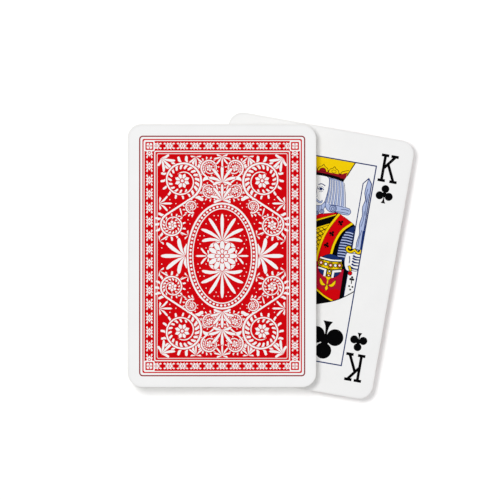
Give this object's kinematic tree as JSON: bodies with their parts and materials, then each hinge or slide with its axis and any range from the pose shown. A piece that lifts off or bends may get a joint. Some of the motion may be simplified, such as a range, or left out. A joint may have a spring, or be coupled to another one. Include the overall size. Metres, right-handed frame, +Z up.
{
  "type": "playing card deck",
  "caption": "Squared pile of face-down playing cards with one face-up court card swung out of its middle; each card slides off the pile by itself.",
  "frame": {"origin": "centre of the pile's underside, on the table", "axes": "+Z up through the pile, +Y towards the top edge of the cards, +X to the side on which the king sticks out"},
  "size_m": [0.096, 0.0962, 0.0162],
  "materials": {
    "card_stock": "coated and embossed card stock, white",
    "printed_back": "coated and embossed card stock, back printed in red"
  },
  "bodies": {
    "nine_of_hearts": {"nine_of_hearts": "card_stock"},
    "three_of_clubs": {"three_of_clubs": "card_stock"},
    "ten_of_clubs": {"ten_of_clubs": "card_stock"},
    "four_of_diamonds": {"four_of_diamonds": "card_stock"},
    "jack_of_diamonds": {"jack_of_diamonds": "card_stock"},
    "two_of_spades": {"two_of_spades": "card_stock"},
    "nine_of_spades": {"nine_of_spades": "card_stock"},
    "three_of_hearts": {"three_of_hearts": "card_stock"},
    "ten_of_hearts": {"ten_of_hearts": "card_stock"},
    "four_of_clubs": {"four_of_clubs": "card_stock"},
    "jack_of_clubs": {"jack_of_clubs": "card_stock"},
    "five_of_diamonds": {"five_of_diamonds": "card_stock"},
    "queen_of_diamonds": {"queen_of_diamonds": "card_stock"},
    "three_of_spades": {"three_of_spades": "card_stock"},
    "ten_of_spades": {"ten_of_spades": "card_stock"},
    "four_of_hearts": {"four_of_hearts": "card_stock"},
    "jack_of_hearts": {"jack_of_hearts": "card_stock"},
    "five_of_clubs": {"five_of_clubs": "card_stock"},
    "queen_of_clubs": {"queen_of_clubs": "card_stock"},
    "six_of_diamonds": {"six_of_diamonds": "card_stock"},
    "king_of_diamonds": {"king_of_diamonds": "card_stock"},
    "four_of_spades": {"four_of_spades": "card_stock"},
    "jack_of_spades": {"jack_of_spades": "card_stock"},
    "five_of_hearts": {"five_of_hearts": "card_stock"},
    "queen_of_hearts": {"queen_of_hearts": "card_stock"},
    "six_of_clubs": {"six_of_clubs": "card_stock"},
    "king_of_clubs": {"king_of_clubs": "card_stock"},
    "seven_of_diamonds": {"seven_of_diamonds": "card_stock"},
    "black_joker": {"black_joker": "card_stock"},
    "five_of_spades": {"five_of_spades": "card_stock"},
    "queen_of_spades": {"queen_of_spades": "card_stock"},
    "six_of_hearts": {"six_of_hearts": "card_stock"},
    "king_of_hearts": {"king_of_hearts": "card_stock"},
    "seven_of_clubs": {"seven_of_clubs": "card_stock"},
    "ace_of_diamonds": {"ace_of_diamonds": "card_stock"},
    "eight_of_diamonds": {"eight_of_diamonds": "card_stock"},
    "red_joker": {"red_joker": "card_stock"},
    "six_of_spades": {"six_of_spades": "card_stock"},
    "king_of_spades": {"king_of_spades": "card_stock"},
    "seven_of_hearts": {"seven_of_hearts": "card_stock"},
    "ace_of_clubs": {"ace_of_clubs": "card_stock"},
    "eight_of_clubs": {"eight_of_clubs": "card_stock"},
    "two_of_diamonds": {"two_of_diamonds": "card_stock"},
    "nine_of_diamonds": {"nine_of_diamonds": "card_stock"},
    "seven_of_spades": {"seven_of_spades": "card_stock"},
    "ace_of_hearts": {"ace_of_hearts": "card_stock"},
    "eight_of_hearts": {"eight_of_hearts": "card_stock"},
    "two_of_clubs": {"two_of_clubs": "card_stock"},
    "nine_of_clubs": {"nine_of_clubs": "card_stock"},
    "three_of_diamonds": {"three_of_diamonds": "card_stock"},
    "ten_of_diamonds": {"ten_of_diamonds": "card_stock"},
    "ace_of_spades": {"ace_of_spades": "card_stock"},
    "eight_of_spades": {"eight_of_spades": "card_stock"},
    "two_of_hearts": {"two_of_hearts": "printed_back"}
  },
  "joints": [
    {"name": "swing_king_of_clubs", "type": "hinge", "parent": "nine_of_hearts", "child": "king_of_clubs", "pos_m": [0.01325, -0.15145, 0.0078], "axis": [0, 0, 1], "range_deg": [-25, 10]},
    {"name": "slide_two_of_hearts", "type": "slide", "parent": "nine_of_hearts", "child": "two_of_hearts", "axis": [0, 1, 0], "range_m": [-0.093, 0.093]},
    {"name": "slide_eight_of_spades", "type": "slide", "parent": "nine_of_hearts", "child": "eight_of_spades", "axis": [1, 0, 0], "range_m": [-0.068, 0.068]},
    {"name": "slide_ace_of_spades", "type": "slide", "parent": "nine_of_hearts", "child": "ace_of_spades", "axis": [0, -1, 0], "range_m": [-0.093, 0.093]},
    {"name": "slide_ten_of_diamonds", "type": "slide", "parent": "nine_of_hearts", "child": "ten_of_diamonds", "axis": [-1, 0, 0], "range_m": [-0.068, 0.068]},
    {"name": "slide_three_of_diamonds", "type": "slide", "parent": "nine_of_hearts", "child": "three_of_diamonds", "axis": [0, 1, 0], "range_m": [-0.093, 0.093]},
    {"name": "slide_nine_of_clubs", "type": "slide", "parent": "nine_of_hearts", "child": "nine_of_clubs", "axis": [1, 0, 0], "range_m": [-0.068, 0.068]},
    {"name": "slide_two_of_clubs", "type": "slide", "parent": "nine_of_hearts", "child": "two_of_clubs", "axis": [0, -1, 0], "range_m": [-0.093, 0.093]},
    {"name": "slide_eight_of_hearts", "type": "slide", "parent": "nine_of_hearts", "child": "eight_of_hearts", "axis": [-1, 0, 0], "range_m": [-0.068, 0.068]},
    {"name": "slide_ace_of_hearts", "type": "slide", "parent": "nine_of_hearts", "child": "ace_of_hearts", "axis": [0, 1, 0], "range_m": [-0.093, 0.093]},
    {"name": "slide_seven_of_spades", "type": "slide", "parent": "nine_of_hearts", "child": "seven_of_spades", "axis": [1, 0, 0], "range_m": [-0.068, 0.068]},
    {"name": "slide_nine_of_diamonds", "type": "slide", "parent": "nine_of_hearts", "child": "nine_of_diamonds", "axis": [0, -1, 0], "range_m": [-0.093, 0.093]},
    {"name": "slide_two_of_diamonds", "type": "slide", "parent": "nine_of_hearts", "child": "two_of_diamonds", "axis": [-1, 0, 0], "range_m": [-0.068, 0.068]},
    {"name": "slide_eight_of_clubs", "type": "slide", "parent": "nine_of_hearts", "child": "eight_of_clubs", "axis": [0, 1, 0], "range_m": [-0.093, 0.093]},
    {"name": "slide_ace_of_clubs", "type": "slide", "parent": "nine_of_hearts", "child": "ace_of_clubs", "axis": [1, 0, 0], "range_m": [-0.068, 0.068]},
    {"name": "slide_seven_of_hearts", "type": "slide", "parent": "nine_of_hearts", "child": "seven_of_hearts", "axis": [0, -1, 0], "range_m": [-0.093, 0.093]},
    {"name": "slide_king_of_spades", "type": "slide", "parent": "nine_of_hearts", "child": "king_of_spades", "axis": [-1, 0, 0], "range_m": [-0.068, 0.068]},
    {"name": "slide_six_of_spades", "type": "slide", "parent": "nine_of_hearts", "child": "six_of_spades", "axis": [0, 1, 0], "range_m": [-0.093, 0.093]},
    {"name": "slide_red_joker", "type": "slide", "parent": "nine_of_hearts", "child": "red_joker", "axis": [1, 0, 0], "range_m": [-0.068, 0.068]},
    {"name": "slide_eight_of_diamonds", "type": "slide", "parent": "nine_of_hearts", "child": "eight_of_diamonds", "axis": [0, -1, 0], "range_m": [-0.093, 0.093]},
    {"name": "slide_ace_of_diamonds", "type": "slide", "parent": "nine_of_hearts", "child": "ace_of_diamonds", "axis": [-1, 0, 0], "range_m": [-0.068, 0.068]},
    {"name": "slide_seven_of_clubs", "type": "slide", "parent": "nine_of_hearts", "child": "seven_of_clubs", "axis": [0, 1, 0], "range_m": [-0.093, 0.093]},
    {"name": "slide_king_of_hearts", "type": "slide", "parent": "nine_of_hearts", "child": "king_of_hearts", "axis": [1, 0, 0], "range_m": [-0.068, 0.068]},
    {"name": "slide_six_of_hearts", "type": "slide", "parent": "nine_of_hearts", "child": "six_of_hearts", "axis": [0, -1, 0], "range_m": [-0.093, 0.093]},
    {"name": "slide_queen_of_spades", "type": "slide", "parent": "nine_of_hearts", "child": "queen_of_spades", "axis": [-1, 0, 0], "range_m": [-0.068, 0.068]},
    {"name": "slide_five_of_spades", "type": "slide", "parent": "nine_of_hearts", "child": "five_of_spades", "axis": [0, 1, 0], "range_m": [-0.093, 0.093]},
    {"name": "slide_black_joker", "type": "slide", "parent": "nine_of_hearts", "child": "black_joker", "axis": [1, 0, 0], "range_m": [-0.068, 0.068]},
    {"name": "slide_seven_of_diamonds", "type": "slide", "parent": "nine_of_hearts", "child": "seven_of_diamonds", "axis": [0, -1, 0], "range_m": [-0.093, 0.093]},
    {"name": "slide_six_of_clubs", "type": "slide", "parent": "nine_of_hearts", "child": "six_of_clubs", "axis": [0, 1, 0], "range_m": [-0.093, 0.093]},
    {"name": "slide_queen_of_hearts", "type": "slide", "parent": "nine_of_hearts", "child": "queen_of_hearts", "axis": [1, 0, 0], "range_m": [-0.068, 0.068]},
    {"name": "slide_five_of_hearts", "type": "slide", "parent": "nine_of_hearts", "child": "five_of_hearts", "axis": [0, -1, 0], "range_m": [-0.093, 0.093]},
    {"name": "slide_jack_of_spades", "type": "slide", "parent": "nine_of_hearts", "child": "jack_of_spades", "axis": [-1, 0, 0], "range_m": [-0.068, 0.068]},
    {"name": "slide_four_of_spades", "type": "slide", "parent": "nine_of_hearts", "child": "four_of_spades", "axis": [0, 1, 0], "range_m": [-0.093, 0.093]},
    {"name": "slide_king_of_diamonds", "type": "slide", "parent": "nine_of_hearts", "child": "king_of_diamonds", "axis": [1, 0, 0], "range_m": [-0.068, 0.068]},
    {"name": "slide_six_of_diamonds", "type": "slide", "parent": "nine_of_hearts", "child": "six_of_diamonds", "axis": [0, -1, 0], "range_m": [-0.093, 0.093]},
    {"name": "slide_queen_of_clubs", "type": "slide", "parent": "nine_of_hearts", "child": "queen_of_clubs", "axis": [-1, 0, 0], "range_m": [-0.068, 0.068]},
    {"name": "slide_five_of_clubs", "type": "slide", "parent": "nine_of_hearts", "child": "five_of_clubs", "axis": [0, 1, 0], "range_m": [-0.093, 0.093]},
    {"name": "slide_jack_of_hearts", "type": "slide", "parent": "nine_of_hearts", "child": "jack_of_hearts", "axis": [1, 0, 0], "range_m": [-0.068, 0.068]},
    {"name": "slide_four_of_hearts", "type": "slide", "parent": "nine_of_hearts", "child": "four_of_hearts", "axis": [0, -1, 0], "range_m": [-0.093, 0.093]},
    {"name": "slide_ten_of_spades", "type": "slide", "parent": "nine_of_hearts", "child": "ten_of_spades", "axis": [-1, 0, 0], "range_m": [-0.068, 0.068]},
    {"name": "slide_three_of_spades", "type": "slide", "parent": "nine_of_hearts", "child": "three_of_spades", "axis": [0, 1, 0], "range_m": [-0.093, 0.093]},
    {"name": "slide_queen_of_diamonds", "type": "slide", "parent": "nine_of_hearts", "child": "queen_of_diamonds", "axis": [1, 0, 0], "range_m": [-0.068, 0.068]},
    {"name": "slide_five_of_diamonds", "type": "slide", "parent": "nine_of_hearts", "child": "five_of_diamonds", "axis": [0, -1, 0], "range_m": [-0.093, 0.093]},
    {"name": "slide_jack_of_clubs", "type": "slide", "parent": "nine_of_hearts", "child": "jack_of_clubs", "axis": [-1, 0, 0], "range_m": [-0.068, 0.068]},
    {"name": "slide_four_of_clubs", "type": "slide", "parent": "nine_of_hearts", "child": "four_of_clubs", "axis": [0, 1, 0], "range_m": [-0.093, 0.093]},
    {"name": "slide_ten_of_hearts", "type": "slide", "parent": "nine_of_hearts", "child": "ten_of_hearts", "axis": [1, 0, 0], "range_m": [-0.068, 0.068]},
    {"name": "slide_three_of_hearts", "type": "slide", "parent": "nine_of_hearts", "child": "three_of_hearts", "axis": [0, -1, 0], "range_m": [-0.093, 0.093]},
    {"name": "slide_nine_of_spades", "type": "slide", "parent": "nine_of_hearts", "child": "nine_of_spades", "axis": [-1, 0, 0], "range_m": [-0.068, 0.068]},
    {"name": "slide_two_of_spades", "type": "slide", "parent": "nine_of_hearts", "child": "two_of_spades", "axis": [0, 1, 0], "range_m": [-0.093, 0.093]},
    {"name": "slide_jack_of_diamonds", "type": "slide", "parent": "nine_of_hearts", "child": "jack_of_diamonds", "axis": [1, 0, 0], "range_m": [-0.068, 0.068]},
    {"name": "slide_four_of_diamonds", "type": "slide", "parent": "nine_of_hearts", "child": "four_of_diamonds", "axis": [0, -1, 0], "range_m": [-0.093, 0.093]},
    {"name": "slide_ten_of_clubs", "type": "slide", "parent": "nine_of_hearts", "child": "ten_of_clubs", "axis": [-1, 0, 0], "range_m": [-0.068, 0.068]},
    {"name": "slide_three_of_clubs", "type": "slide", "parent": "nine_of_hearts", "child": "three_of_clubs", "axis": [0, 1, 0], "range_m": [-0.093, 0.093]}
  ]
}
